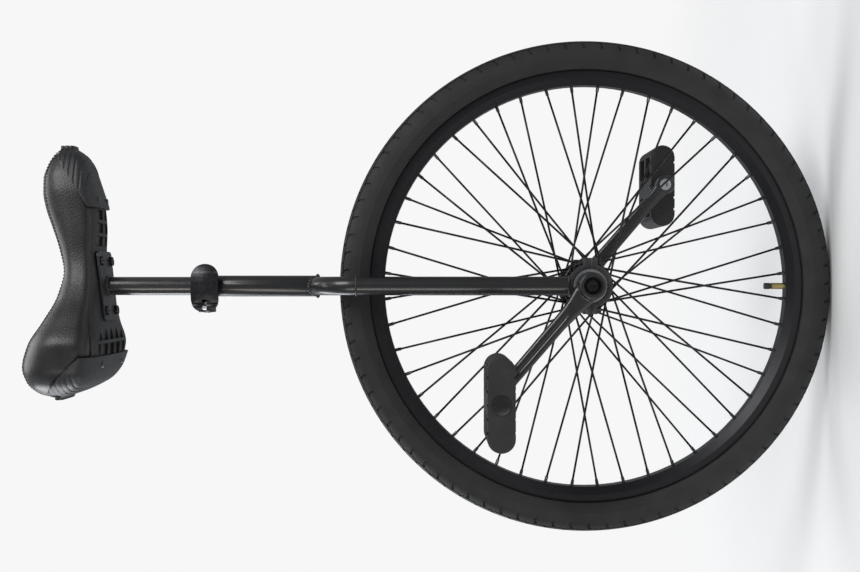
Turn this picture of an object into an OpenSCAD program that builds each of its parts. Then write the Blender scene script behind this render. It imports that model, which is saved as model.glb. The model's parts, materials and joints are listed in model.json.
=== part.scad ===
// Unicycle: a 24 inch wheel driven directly by its cranks, a bearing-holder fork,
// and a saddle on a sliding post held by a quick-release collar.
// Origin: tyre contact point under the axle. +X forward, +Y rider's left, +Z up.

/* [Wheel] */
// Outer radius of the tyre
wheel_r = 297.5; // [250:0.5:360]
// Height of the tyre above the bead seat
tyre_h = 44; // [36:1:54]
// Width of the tyre
tyre_w = 47; // [40:1:56]
// Wall of the tyre casing
tyre_wall = 3; // [2:0.5:4]
// Outside width of the rim
rim_w = 30; // [26:1:34]
// Depth of the rim below the bead seat
rim_well = 10.5; // [9:0.5:14]
// Height of the rim flange above the bead seat
rim_flange_h = 6; // [5:0.5:7]
// Wall of the rim
rim_wall = 2; // [1.6:0.1:2.6]
// Number of spokes on each side
spokes_per_side = 24; // [16:4:24]
// Spoke wire diameter
spoke_d = 2.6; // [2:0.1:3]
// Hub holes between a spoke's rim hole and its hub hole
spoke_lead = 4; // [2:1:4]

/* [Hub and bearings] */
// Distance between the two bearing centres
bearing_gap = 100; // [95:1:125]
// Distance between the spoke flange centres
flange_gap = 64; // [50:1:70]
// Radius of a hub flange
flange_r = 30; // [28:0.5:36]
// Radius of the spoke hole circle
spoke_circle_r = 26; // [24:0.5:32]
// Thickness of a hub flange
flange_t = 3.5; // [3:0.5:5]
// Diameter of the axle
axle_d = 17; // [15:1:20]
// Outside diameter of a wheel bearing
bearing_d = 40; // [38:1:47]
// Width of a wheel bearing
bearing_w = 12; // [10:1:14]
// Side of the square axle end
axle_square = 12.6; // [10:0.1:14]

/* [Fork] */
// Diameter of a fork leg
leg_d = 22.2; // [19:0.1:26]
// Wall of the fork tubes
leg_wall = 1.6; // [1.2:0.1:2.5]
// Space between the tyre and the crown
crown_gap = 16; // [8:1:40]
// Wall of the bearing housing around the bearing
housing_wall = 6; // [5:0.5:9]
// Width of a bearing housing
housing_w = 16; // [13:1:18]
// Diameter of the seat tube
seat_tube_d = 25.4; // [25.2:0.1:32]
// Length of the seat tube above the crown
seat_tube_len = 130; // [90:5:200]

/* [Seat post and clamp] */
// Diameter of the seat post
post_d = 22.2; // [18:0.1:22.6]
// Length of the seat post
post_len = 185; // [150:5:300]
// Height of the saddle plate above the seat tube
post_out = 112; // [60:1:180]
// Radial clearance of the post in the seat tube
post_clear = 0.08; // [0.05:0.01:0.1]
// Wall of the clamp collar
collar_wall = 4.3; // [3:0.1:6]
// Height of the clamp collar
collar_h = 18; // [14:1:24]
// Height of the quick-release lever
lever_h = 32.8; // [24:0.1:36]
// Length of the quick-release lever
lever_len = 58.3; // [50:0.1:70]

/* [Cranks and pedals] */
// Crank length, axle to pedal
crank_len = 170; // [125:1:175]
// Thickness of a crank arm
crank_t = 13; // [10:1:16]
// Angle of the left crank below straight ahead
crank_angle = 40.7; // [0:0.1:90]
// Length of a pedal along the foot
pedal_len = 104; // [90:1:115]
// Width of a pedal
pedal_w = 90; // [80:1:105]
// Thickness of a pedal
pedal_t = 31; // [24:1:36]
// Diameter of the pedal spindle in its bearings
spindle_d = 12; // [10:0.5:13]

/* [Saddle] */
// Lean of the saddle plate, nose up
saddle_tilt = 6.2; // [0:0.1:8]
// Thickness of the saddle base
base_t = 7; // [5:1:9]
// Thickness of the cover
cover_t = 2; // [1.5:0.5:3]
// Thickness of the bumpers
bumper_t = 3.2; // [2.5:0.1:4]
// Thickness of the steel plate under the saddle
plate_t = 3; // [2.5:0.5:4]

/* [Hidden] */
$fn = 64;

// Small clearances
running = 0.05;   // shaft in a bush, radial
free_gap = 0.3;   // curved faces that pass each other
tiny = 0.1;       // one piece set beside another
over = 1;         // a cut runs this far past a face

// Heights and radii that everything shares
axle_z = wheel_r;
bead_r = wheel_r - tyre_h;
rim_in_r = bead_r - rim_well;
bearing_y = bearing_gap / 2;
flange_y = flange_gap / 2;
leg_y = bearing_y;
arch_z = 2 * wheel_r + crown_gap - leg_y + leg_d / 2;
crown_top = arch_z + leg_y + leg_d / 2;
tube_top = crown_top + seat_tube_len;
saddle_z = tube_top + post_out;
housing_r = bearing_d / 2 + housing_wall;
crank_in = bearing_y + max(leg_d, housing_w) / 2 + 3;
crank_out = crank_in + crank_t;
boss_out = crank_out + 7;
boss_in = bearing_y + bearing_w / 2 + 3.5;
pedal_in = crank_out + 6;
pedal_x = crank_len * cos(crank_angle);
pedal_z = crank_len * sin(crank_angle);

// A child with its axis on Z is turned to lie along +Y, at the axle
module wheel_axis() { translate([0, 0, axle_z]) rotate([-90, 0, 0]) children(); }
module along_y(y) { translate([0, y, 0]) rotate([-90, 0, 0]) children(); }
// The child is drawn for the left side and mirrored for the right
module on_side(side) { if (side > 0) children(); else mirror([0, 1, 0]) children(); }
// A flat ring centred on the origin
module ring(r_out, r_in, h) {
    difference() {
        cylinder(h = h, r = r_out, center = true);
        cylinder(h = h + 2 * over, r = r_in, center = true);
    }
}

// ---------------------------------------------------------------- fork
module arch(d) {
    translate([0, 0, arch_z]) rotate([90, 0, 90])
        rotate_extrude(angle = 180) translate([leg_y, 0]) circle(d = d);
}

module fork_crown() {
    color("#1b1b1d") difference() {
        arch(leg_d);
        arch(leg_d - 2 * leg_wall);
    }
}

module fork_leg() {
    leg_low = sqrt(pow(housing_r, 2) - pow(leg_d / 2, 2)) - over;
    difference() {
        translate([0, leg_y, axle_z + leg_low])
            cylinder(h = arch_z - axle_z - leg_low, d = leg_d);
        translate([0, leg_y, axle_z + housing_r + leg_wall])
            cylinder(h = arch_z - axle_z, d = leg_d - 2 * leg_wall);
        wheel_axis() cylinder(h = 4 * leg_y, r = housing_r, center = true);
    }
}

module fork_leg_left() { color("#1b1b1d") on_side(1) fork_leg(); }
module fork_leg_right() { color("#1b1b1d") on_side(-1) fork_leg(); }

module seat_tube() {
    slot_len = 34;
    slot_w = 3;
    color("#1b1b1d") difference() {
        translate([0, 0, arch_z + leg_y])
            cylinder(h = tube_top - arch_z - leg_y, d = seat_tube_d);
        translate([0, 0, arch_z])
            cylinder(h = seat_tube_len + 2 * leg_y, d = post_d + 2 * post_clear);
        arch(leg_d);
        translate([-seat_tube_d, -slot_w / 2, tube_top - slot_len])
            cube([seat_tube_d, slot_w, slot_len + over]);
        translate([-seat_tube_d, 0, tube_top - slot_len])
            rotate([0, 90, 0]) cylinder(h = seat_tube_d, d = slot_w + 2);
    }
}

// ---------------------------------------------------------------- bearings and housings
ear_x = bearing_d / 2 + housing_wall + 1;
ear_h = 8;
cap_bolt_d = 6;
cap_head_d = 10;

module housing_block() {
    difference() {
        union() {
            wheel_axis() translate([0, 0, bearing_y]) cylinder(h = housing_w, r = housing_r,
                center = true);
            translate([-ear_x - 6, bearing_y - housing_w / 2, axle_z - ear_h])
                cube([2 * ear_x + 12, housing_w, 2 * ear_h]);
        }
        wheel_axis() translate([0, 0, bearing_y])
            cylinder(h = housing_w + 2 * over, d = bearing_d, center = true);
        for (x = [-ear_x, ear_x]) translate([x, bearing_y, axle_z - ear_h]) {
            translate([0, 0, -over]) cylinder(h = 2 * ear_h, d = cap_bolt_d);
            translate([0, 0, -bearing_d]) cylinder(h = bearing_d, d = cap_head_d + 1);
        }
    }
}

module half_space(up) {
    reach = 2 * bearing_d;
    translate([-reach, bearing_y - reach, up ? axle_z : axle_z - 2 * reach])
        cube([2 * reach, 2 * reach, 2 * reach]);
}

module housing_half(up) { intersection() { housing_block(); half_space(up); } }

module bearing_housing_left() { color("#202023") on_side(1) housing_half(true); }
module bearing_housing_right() { color("#202023") on_side(-1) housing_half(true); }
module bearing_cap_left() { color("#202023") on_side(1) housing_half(false); }
module bearing_cap_right() { color("#202023") on_side(-1) housing_half(false); }

module socket_bolt(d, len, head_d, head_h, key_d) {
    difference() {
        union() {
            translate([0, 0, -head_h]) cylinder(h = head_h, d = head_d);
            cylinder(h = len, d = d);
        }
        translate([0, 0, -head_h - over]) cylinder(h = head_h * 0.6 + over, d = key_d, $fn = 6);
    }
}

module bearing_cap_bolts() {
    color("#3a3a3d") for (side = [-1, 1], x = [-ear_x, ear_x])
        translate([x, side * bearing_y, axle_z - ear_h])
            socket_bolt(cap_bolt_d, 2 * ear_h - over, cap_head_d, 5, 5);
}

// The races leave a groove for the balls
race_mid = (bearing_d + axle_d) / 4;
race_half = (bearing_d - axle_d) / 4;
ball_r = race_half * 0.56;
groove_r = ball_r + free_gap;
inner_race_r = race_mid - ball_r * 0.72;
outer_race_r = race_mid + ball_r * 0.72;
ball_count = 8;

module ball_groove() { rotate_extrude() translate([race_mid, 0]) circle(r = groove_r); }

module bearing_outer_races() {
    color("#55565a") for (side = [-1, 1]) wheel_axis() translate([0, 0, side * bearing_y])
        difference() {
            ring(bearing_d / 2, outer_race_r, bearing_w);
            ball_groove();
        }
}

module bearing_inner_races() {
    color("#55565a") for (side = [-1, 1]) wheel_axis() translate([0, 0, side * bearing_y])
        difference() {
            ring(inner_race_r, axle_d / 2, bearing_w);
            ball_groove();
        }
}

module bearing_seals() {
    seal_t = 0.8;
    color("#0f0f10") for (side = [-1, 1], face = [-1, 1]) wheel_axis()
        translate([0, 0, side * bearing_y + face * (bearing_w - seal_t) / 2])
            ring(outer_race_r, inner_race_r + 0.4, seal_t);
}

module ball_cage(side) {
    wheel_axis() translate([0, 0, side * bearing_y]) {
        difference() {
            ring(race_mid + ball_r * 0.4, race_mid - ball_r * 0.4, ball_r * 2 + 1.2);
            for (i = [0:ball_count - 1]) rotate(i * 360 / ball_count)
                translate([race_mid - ball_r, 0, 0]) rotate([0, 90, 0])
                    cylinder(h = 2 * ball_r, r = ball_r + tiny);
        }
        for (i = [0:ball_count - 1]) rotate(i * 360 / ball_count)
            translate([race_mid, 0, 0]) sphere(r = ball_r, $fn = 32);
    }
}

module ball_cage_left() { color("#8a8b90") ball_cage(1); }
module ball_cage_right() { color("#8a8b90") ball_cage(-1); }

// ---------------------------------------------------------------- hub
hub_end = bearing_y - bearing_w / 2 - 4;
hub_r = axle_d / 2 + 6;

module hub_shell() {
    color("#1a1a1c") wheel_axis() difference() {
        union() {
            cylinder(h = 2 * hub_end, r = hub_r, center = true);
            for (side = [-1, 1]) translate([0, 0, side * flange_y])
                cylinder(h = flange_t, r = flange_r, center = true);
        }
        cylinder(h = 2 * hub_end + 2 * over, d = axle_d, center = true);
        cylinder(h = flange_gap - 12, r = hub_r - 3, center = true);
        for (side = [-1, 1], i = [0:spokes_per_side - 1])
            rotate(hub_angle(i, side)) translate([spoke_circle_r, 0, side * flange_y])
                cylinder(h = flange_t + 2 * over, d = spoke_d + 0.3, center = true);
    }
}

module bearing_spacers() {
    spacer_w = bearing_y - bearing_w / 2 - hub_end;
    outer_w = boss_in - bearing_y - bearing_w / 2;
    color("#6a6b70") for (side = [-1, 1]) wheel_axis() {
        translate([0, 0, side * (hub_end + spacer_w / 2)]) ring(inner_race_r, axle_d / 2, spacer_w);
        translate([0, 0, side * (boss_in - outer_w / 2)]) ring(inner_race_r, axle_d / 2, outer_w);
    }
}

// The square end narrows outwards by two degrees on each face
taper = 2;
bolt_d = 8;
bolt_hole_len = 24;
puller_len = 9;
bolt_seat = boss_out - puller_len - 4;

module square_end(len) {
    side = axle_square;
    difference() {
        translate([0, 0, len / 2]) cube([side, side, len], center = true);
        for (a = [0:90:270]) rotate(a) translate([side / 2, 0, 0]) rotate([0, -taper, 0])
            translate([0, -side, -over]) cube([side, 2 * side, 2 * len]);
    }
}

module axle() {
    color("#77787c") wheel_axis() difference() {
        union() {
            cylinder(h = 2 * boss_in, d = axle_d, center = true);
            for (side = [-1, 1]) mirror([0, 0, side > 0 ? 0 : 1])
                translate([0, 0, boss_in]) rotate(crank_angle)
                    square_end(bolt_seat - boss_in - 0.6);
        }
        for (side = [-1, 1]) mirror([0, 0, side > 0 ? 0 : 1])
            translate([0, 0, bolt_seat - bolt_hole_len]) cylinder(h = bolt_hole_len, d = bolt_d);
    }
}

// ---------------------------------------------------------------- spokes and rim
spoke_pitch = 360 / spokes_per_side;
spoke_lift = 1.2;
rim_stagger = 2.2;
nipple_d = 4;
nipple_len = 10;

function rim_angle(i, side) = i * spoke_pitch + (side > 0 ? 0.75 : 0.25) * spoke_pitch;
function hub_angle(i, side) = rim_angle(i, side) + (i % 2 == 0 ? -1 : 1) * spoke_lead * spoke_pitch;
function spoke_face(i) = i % 2 == 0 ? flange_y + flange_t / 2 + spoke_d / 2 + spoke_lift
    : flange_y - flange_t / 2 - spoke_d / 2 - tiny;
function hub_point(i, side) = [spoke_circle_r * cos(hub_angle(i, side)),
    spoke_circle_r * sin(hub_angle(i, side)), side * spoke_face(i)];
function rim_point(i, side) = [rim_in_r * cos(rim_angle(i, side)),
    rim_in_r * sin(rim_angle(i, side)), side * rim_stagger];

// The child's +Z axis runs outwards along the spoke, from the rim's inner face
module at_rim_hole(i, side) {
    run = rim_point(i, side) - hub_point(i, side);
    translate(rim_point(i, side))
        rotate([0, acos(run.z / norm(run)), atan2(run.y, run.x)]) children();
}

module spoke(i, side) {
    run_len = norm(rim_point(i, side) - hub_point(i, side));
    out = i % 2 == 0 ? 1 : -1;
    head_y = flange_y - out * (flange_t / 2 + 1);
    at_rim_hole(i, side) translate([0, 0, -run_len - 0.8])
        cylinder(h = run_len + rim_wall + 1.4, d = spoke_d);
    rotate(hub_angle(i, side)) translate([spoke_circle_r, 0, side * (spoke_face(i) + head_y) / 2])
        cylinder(h = abs(spoke_face(i) - head_y) + 1, d = spoke_d, center = true);
    rotate(hub_angle(i, side))
        translate([spoke_circle_r, 0, side * (flange_y - out * (flange_t / 2 + 1))])
            cylinder(h = 1.6, d = spoke_d + 1.4, center = true);
}

module spokes(side) { wheel_axis() for (i = [0:spokes_per_side - 1]) spoke(i, side); }
module spokes_left() { color("#2b2b2e") spokes(1); }
module spokes_right() { color("#2b2b2e") spokes(-1); }

module spoke_nipples() {
    seat = rim_wall + 0.8;
    color("#4b4b50") wheel_axis() for (side = [-1, 1], i = [0:spokes_per_side - 1])
        at_rim_hole(i, side) difference() {
            union() {
                translate([0, 0, seat - nipple_len]) cylinder(h = nipple_len, d = nipple_d);
                translate([0, 0, seat]) cylinder(h = 1.6, d = nipple_d + 2);
            }
            translate([0, 0, -nipple_len]) cylinder(h = 2 * nipple_len, d = spoke_d);
        }
}

rim_top_r = bead_r + rim_flange_h;
well_r = rim_in_r + rim_wall + 0.2;
bead_in = rim_w / 2 - rim_wall + 0.1;
valve_angle = 90;
valve_d = 8;

rim_half = [[rim_in_r, rim_w / 4], [bead_r - 1.5, rim_w / 2], [rim_top_r, rim_w / 2],
    [rim_top_r, bead_in], [bead_r, bead_in], [bead_r, bead_in - 3.6], [well_r, rim_w / 4 - 1.3]];
rim_outline = concat(rim_half,
    [for (k = [len(rim_half) - 1:-1:0]) [rim_half[k][0], -rim_half[k][1]]]);

module rim() {
    color("#17171a") wheel_axis() difference() {
        rotate_extrude() polygon(rim_outline);
        for (side = [-1, 1], i = [0:spokes_per_side - 1])
            at_rim_hole(i, side) translate([0, 0, -3]) cylinder(h = rim_wall + 6, d = nipple_d + 0.9);
        rotate(valve_angle) rotate([0, 90, 0]) cylinder(h = bead_r, d = valve_d + 0.4);
    }
}

module rim_tape() {
    tape_r = well_r + 2.8;
    color("#101010") wheel_axis() difference() {
        ring(tape_r + 0.8, tape_r, rim_w / 2 - 1);
        rotate(valve_angle) rotate([0, 90, 0]) cylinder(h = bead_r, d = valve_d + 0.4);
    }
}

// The tyre's section is a circle on a neck that sits between the rim flanges
tyre_mid = wheel_r - tyre_w / 2;
neck = rim_top_r + 1;

module tyre_outline(r, floor_r) {
    intersection() {
        translate([tyre_mid, 0]) circle(r = r);
        translate([floor_r, -tyre_w]) square([tyre_w + 20, 2 * tyre_w]);
    }
}

module tyre() {
    bead_w = bead_in - tiny;
    color("#141414") wheel_axis() rotate_extrude() difference() {
        union() {
            tyre_outline(tyre_w / 2, neck);
            translate([bead_r + tiny, -bead_w]) square([neck - bead_r + 1, 2 * bead_w]);
        }
        tyre_outline(tyre_w / 2 - tyre_wall, neck + 1.5);
        translate([bead_r - 1, 4.5 - bead_w]) square([neck - bead_r + 4, 2 * bead_w - 9]);
    }
}

module inner_tube() {
    tube_wall = 1;
    tube_gap = 0.4;
    color("#1c1c1c") wheel_axis() rotate_extrude() difference() {
        tyre_outline(tyre_w / 2 - tyre_wall - tube_gap, neck + 2);
        tyre_outline(tyre_w / 2 - tyre_wall - tube_gap - tube_wall, neck + 2 + tube_wall);
    }
}

valve_root = neck + 2 - tiny;
valve_len = valve_root - rim_in_r + 22;
module on_valve() { wheel_axis() rotate(valve_angle) rotate([0, -90, 0]) children(); }

module valve_stem() {
    color("#8d7a3f") on_valve() {
        translate([0, 0, -valve_root]) cylinder(h = valve_len - 6, d = valve_d - 0.4);
        translate([0, 0, valve_len - valve_root - 7]) cylinder(h = 7, d = 5);
    }
}

module valve_cap() {
    color("#111111") on_valve() translate([0, 0, valve_len - valve_root - 6]) difference() {
        cylinder(h = 8.5, d = 7.6);
        translate([0, 0, -over]) cylinder(h = 6 + over, d = 5);
    }
}

// ---------------------------------------------------------------- cranks and pedals
arm_r_big = 16.5;
arm_r_small = 12.5;
puller_d = 22;
pedal_thread_d = 14.2;

// The left crank runs along local +X from the axle, with its outer face at boss_out
module crank_shape() {
    difference() {
        union() {
            translate([0, 0, boss_in]) cylinder(h = boss_out - boss_in, r = arm_r_big);
            translate([0, 0, crank_in]) linear_extrude(crank_t) union() {
                polygon([[0, arm_r_big - 2.5], [0, -arm_r_big + 2.5],
                    [crank_len, -arm_r_small + 3], [crank_len, arm_r_small - 3]]);
                translate([crank_len, 0]) circle(r = arm_r_small);
            }
        }
        translate([0, 0, boss_in]) square_end(bolt_seat - boss_in + over);
        translate([0, 0, bolt_seat]) cylinder(h = boss_out, d = puller_d - 2);
        translate([0, 0, boss_out - puller_len]) cylinder(h = boss_out, d = puller_d);
        translate([crank_len, 0, crank_in - over])
            cylinder(h = crank_t + 2 * over, d = pedal_thread_d);
    }
}

// Left cranks point forward and down, right cranks the opposite way
module at_crank(side) {
    wheel_axis() rotate(side > 0 ? crank_angle : crank_angle + 180)
        mirror([0, 0, side > 0 ? 0 : 1]) children();
}

module crank_left() { color("#1d1d20") at_crank(1) crank_shape(); }
module crank_right() { color("#1d1d20") at_crank(-1) crank_shape(); }

module crank_bolts() {
    color("#3a3a3d") for (side = [-1, 1]) at_crank(side)
        translate([0, 0, bolt_seat]) difference() {
            union() {
                cylinder(h = 1.4, d = puller_d - 3);
                cylinder(h = 3.8, d = 14);
                translate([0, 0, -16]) cylinder(h = 16, d = bolt_d);
            }
            translate([0, 0, 1]) cylinder(h = 4, d = 8 / cos(30), $fn = 6);
        }
}

module at_pedal(side) {
    translate([side * pedal_x, 0, axle_z - side * pedal_z]) on_side(side) children();
}

spindle_end = pedal_in + pedal_w - 16;
bush_d = 17;
bush_len = 12;

module pedal_spindle() {
    along_y(crank_in) difference() {
        union() {
            cylinder(h = crank_t, d = pedal_thread_d);
            translate([0, 0, crank_t]) cylinder(h = 4.5, d = 15 / cos(30), $fn = 6);
            translate([0, 0, crank_t]) cylinder(h = spindle_end - crank_out, d = spindle_d);
            translate([0, 0, crank_t]) cylinder(h = spindle_end - crank_out + 7, d = 7);
        }
        translate([0, 0, -over]) cylinder(h = 6, d = 6 / cos(30), $fn = 6);
    }
}

module pedal_spindle_left() { color("#77787c") at_pedal(1) pedal_spindle(); }
module pedal_spindle_right() { color("#77787c") at_pedal(-1) pedal_spindle(); }

module pedal_nuts() {
    color("#77787c") for (side = [-1, 1]) at_pedal(side) along_y(spindle_end) difference() {
        union() {
            cylinder(h = 1.2, d = 13);
            translate([0, 0, 1.2]) cylinder(h = 4.5, d = 10 / cos(30), $fn = 6);
        }
        translate([0, 0, -over]) cylinder(h = 8, d = 7);
    }
}

// Moulded body: rounded front and rear bars, side rails, a barrel and cross ribs
module pedal_body() {
    bar = 13;
    rail = 8;
    barrel_r = bush_d / 2 + 3.5;
    window_x = pedal_len / 2 - bar - barrel_r;
    window_y = (pedal_w - 3 * rail) / 2;
    core_r = pedal_t / 2;
    difference() {
        translate([0, pedal_in, 0]) rotate([-90, 0, 0]) linear_extrude(pedal_w) union() {
            square([pedal_len - pedal_t, pedal_t], center = true);
            for (x = [-1, 1]) translate([x * (pedal_len - pedal_t) / 2, 0]) circle(r = core_r);
        }
        for (x = [-1, 1], j = [0, 1])
            translate([x < 0 ? -barrel_r - window_x : barrel_r,
                pedal_in + rail + j * (window_y + rail), -pedal_t])
                cube([window_x, window_y, 2 * pedal_t]);
        along_y(pedal_in - over) cylinder(h = pedal_w + 2 * over, d = bush_d - 1);
        along_y(pedal_in - over) cylinder(h = bush_len + over, d = bush_d);
        along_y(spindle_end - bush_len) cylinder(h = pedal_w, d = bush_d);
        along_y(spindle_end) cylinder(h = pedal_w, d = bush_d + 2);
    }
}

module pedal_body_left() { color("#131315") at_pedal(1) pedal_body(); }
module pedal_body_right() { color("#131315") at_pedal(-1) pedal_body(); }

module pedal_bushes() {
    for (y = [pedal_in, spindle_end - bush_len]) along_y(y + bush_len / 2)
        ring(bush_d / 2, spindle_d / 2 + running, bush_len - 0.2);
}

module pedal_bushes_left() { color("#9a7b3c") at_pedal(1) pedal_bushes(); }
module pedal_bushes_right() { color("#9a7b3c") at_pedal(-1) pedal_bushes(); }

module pedal_end_cap() {
    cap_in = spindle_end + 10;
    along_y(cap_in) {
        cylinder(h = pedal_in + pedal_w - cap_in, d = bush_d + 2);
        translate([0, 0, pedal_in + pedal_w - cap_in]) cylinder(h = 1.5, d = bush_d + 4);
    }
}

module pedal_end_cap_left() { color("#0e0e0f") at_pedal(1) pedal_end_cap(); }
module pedal_end_cap_right() { color("#0e0e0f") at_pedal(-1) pedal_end_cap(); }

// ---------------------------------------------------------------- seat clamp
collar_r = seat_tube_d / 2 + collar_wall;
collar_low = tube_top + 2 - collar_h;
clamp_z = collar_low + collar_h / 2;
ear_out = 9;
split = 2;
skewer_d = 5;
skewer_x = -collar_r - 8.7;
washer_t = 2;
cam_r = 6;
cam_throw = 0.8;
cam_pin_d = 6;
cam_y = -(ear_out + washer_t + free_gap + cam_r + cam_throw);

module clamp_collar() {
    color("#222225") difference() {
        union() {
            translate([0, 0, collar_low]) cylinder(h = collar_h, r = collar_r);
            translate([skewer_x - 6, -ear_out, collar_low])
                cube([-skewer_x - 6, 2 * ear_out, collar_h]);
        }
        translate([0, 0, collar_low - over])
            cylinder(h = tube_top - collar_low + over, d = seat_tube_d);
        translate([0, 0, collar_low])
            cylinder(h = 2 * collar_h, d = post_d + 2 * free_gap);
        translate([skewer_x - 10, -split / 2, collar_low - over])
            cube([-skewer_x + 10, split, collar_h + 2 * over]);
        translate([skewer_x, 0, clamp_z]) along_y(-ear_out - over)
            cylinder(h = 2 * ear_out + 2 * over, d = skewer_d + 0.2);
    }
}

module clamp_skewer() {
    color("#8c8d92") translate([skewer_x, 0, clamp_z]) union() {
        along_y(cam_y) cylinder(h = ear_out + 7 - cam_y, d = skewer_d);
        translate([0, cam_y, 0]) cylinder(h = 19, d = cam_pin_d, center = true);
    }
}

module clamp_nut() {
    color("#2a2a2d") translate([skewer_x, 0, clamp_z]) along_y(ear_out + tiny) difference() {
        union() {
            cylinder(h = 1.5, d = 14);
            for (i = [0:11]) rotate(i * 30) translate([5.4, 0, 0]) cylinder(h = 8, d = 2.4);
            cylinder(h = 8, d = 11.4);
        }
        translate([0, 0, -over]) cylinder(h = 12, d = skewer_d);
    }
}

module clamp_washer() {
    color("#8c8d92") translate([skewer_x, 0, clamp_z]) along_y(-ear_out - washer_t) difference() {
        cylinder(h = washer_t - tiny, d = 13);
        translate([0, 0, -over]) cylinder(h = 4, d = skewer_d + 0.2);
    }
}

// A curved paddle with a cam at its rear end; the skewer's pin is the hinge
module quick_release_lever() {
    paddle_t = 4.6;
    bow_r = 70;
    paddle_y = -collar_r - 1.4;
    rear_x = skewer_x - cam_r;
    end_r = lever_h / 2;
    color("#1f1f22") difference() {
        intersection() {
            union() {
                // Behind its pin the lever is only the cam, so that nothing swings into the washer
                intersection() {
                    translate([0, paddle_y + bow_r, clamp_z]) ring(bow_r + paddle_t, bow_r, lever_h);
                    translate([skewer_x, -bow_r, clamp_z - lever_h])
                        cube([2 * bow_r, 2 * bow_r, 2 * lever_h]);
                }
                translate([skewer_x, cam_y + cam_throw, clamp_z])
                    cylinder(h = lever_h, r = cam_r, center = true);
            }
            translate([0, -3 * cam_r, clamp_z]) rotate([90, 0, 0])
                linear_extrude(8 * cam_r, center = true) union() {
                    translate([rear_x + end_r, -end_r]) square([lever_len - lever_h, lever_h]);
                    for (x = [rear_x + end_r, rear_x + lever_len - end_r])
                        translate([x, 0]) circle(r = end_r);
                }
            translate([rear_x - 1, -40, clamp_z - lever_h])
                cube([lever_len + 2, 40 - ear_out - washer_t - free_gap, 2 * lever_h]);
        }
        translate([skewer_x, cam_y, clamp_z]) {
            cylinder(h = 2 * lever_h, d = cam_pin_d + 2 * running, center = true);
            cylinder(h = skewer_d + 1, r = cam_r + 4, center = true);
        }
    }
}

// ---------------------------------------------------------------- seat post and saddle
plate_half = 42;
plate_rise = 1.4 + plate_t;

module on_plate() { translate([0, 0, saddle_z + plate_rise]) rotate([0, -saddle_tilt, 0]) children(); }

module seat_post() {
    wall = 2;
    color("#2c2c30") difference() {
        translate([0, 0, saddle_z - post_len]) cylinder(h = post_len + 20, d = post_d);
        translate([0, 0, saddle_z - post_len - over])
            cylinder(h = post_len + 40, d = post_d - 2 * wall);
        on_plate() translate([-50, -50, -plate_t]) cube([100, 100, 60]);
    }
}

plate_bolt_x = 30;
plate_bolt_y = 21;
plate_bolt_d = 6;

module saddle_plate() {
    color("#26262a") on_plate() translate([0, 0, -plate_t]) difference() {
        linear_extrude(plate_t) union() {
            square([2 * plate_half - 12, 60], center = true);
            square([2 * plate_half, 48], center = true);
            for (x = [-1, 1], y = [-1, 1])
                translate([x * (plate_half - 6), y * 24]) circle(r = 6);
        }
        for (x = [-1, 1], y = [-1, 1])
            translate([x * plate_bolt_x, y * plate_bolt_y, -over])
                cylinder(h = plate_t + 2 * over, d = plate_bolt_d + 0.4);
    }
}

module saddle_bolts() {
    color("#3a3a3d") on_plate() for (x = [-1, 1], y = [-1, 1])
        translate([x * plate_bolt_x, y * plate_bolt_y, -plate_t - tiny])
            socket_bolt(plate_bolt_d, plate_t + base_t - 1, 11, 3.2, 4);
}

// Cushion sections from tail to nose: place along X, underside, top, half width
plate_line = tan(saddle_tilt);
sections = [
    [-133.5, 52, 60, 26], [-127, 34, 77, 60], [-113, 11, 90, 86], [-95, 0, 94.5, 97],
    [-70, -6, 88, 99], [-plate_half, plate_rise - plate_half * plate_line, 72, 84],
    [-12, plate_rise - 12 * plate_line, 57, 63], [15, plate_rise + 15 * plate_line, 51, 50],
    [plate_half, plate_rise + plate_half * plate_line, 57, 44], [70, 7.5, 67, 42],
    [95, 9, 76, 40], [112, 14, 79, 39], [128, 19, 79, 36], [145, 24, 74, 30],
    [158, 32, 66, 22], [166.5, 43, 56, 9]];
section_points = 32;

// One closed outline: flat underside, round shoulders and a crowned top
function bend(v, p) = sign(v) * pow(abs(v), p);
function section_ring(x, low, high, half) = let (mid = low + 0.42 * (high - low))
    [for (k = [0:section_points - 1]) let (a = 360 * k / section_points,
        y = half * bend(cos(a), 0.62), up = bend(sin(a), 0.8))
        [x, y, up > 0 ? mid + (high - mid) * up : mid + (mid - low) * bend(sin(a), 0.35)]];
function flat_ring(x, low, high, half) = [[x, -half, low], [x, half, low],
    [x, half, high], [x, -half, high]];
base_inset = 6;

// A solid through rings that have the same number of points
module loft(rings) {
    n = len(rings[0]);
    last = len(rings) - 1;
    polyhedron(
        points = [for (r = rings, p = r) p],
        faces = concat([[for (k = [0:n - 1]) k]], [[for (k = [n - 1:-1:0]) last * n + k]],
            [for (i = [0:last - 1], k = [0:n - 1]) let (a = i * n + k, b = i * n + (k + 1) % n)
                each [[a, a + n, b], [b, a + n, b + n]]]),
        convexity = 6);
}

// The cushion's outer shape, grown by one amount below and on top and another at the sides
module cushion(grow, side) {
    last = len(sections) - 1;
    translate([0, 0, saddle_z]) loft([for (i = [0:last]) let (s = sections[i])
        section_ring(s[0] + (i == 0 ? -side : i == last ? side : 0),
            min(s[1] - grow, s[2] - 3), s[2] + grow, s[3] + side)]);
}

// A slab that follows the underside, between two heights above it
module base_slab(low, high, side) {
    first = 2;
    last = len(sections) - 3;
    translate([0, 0, saddle_z]) loft([for (i = [first:last]) let (s = sections[i])
        flat_ring(s[0], s[1] + low, s[1] + high, s[3] + side)]);
}

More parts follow.
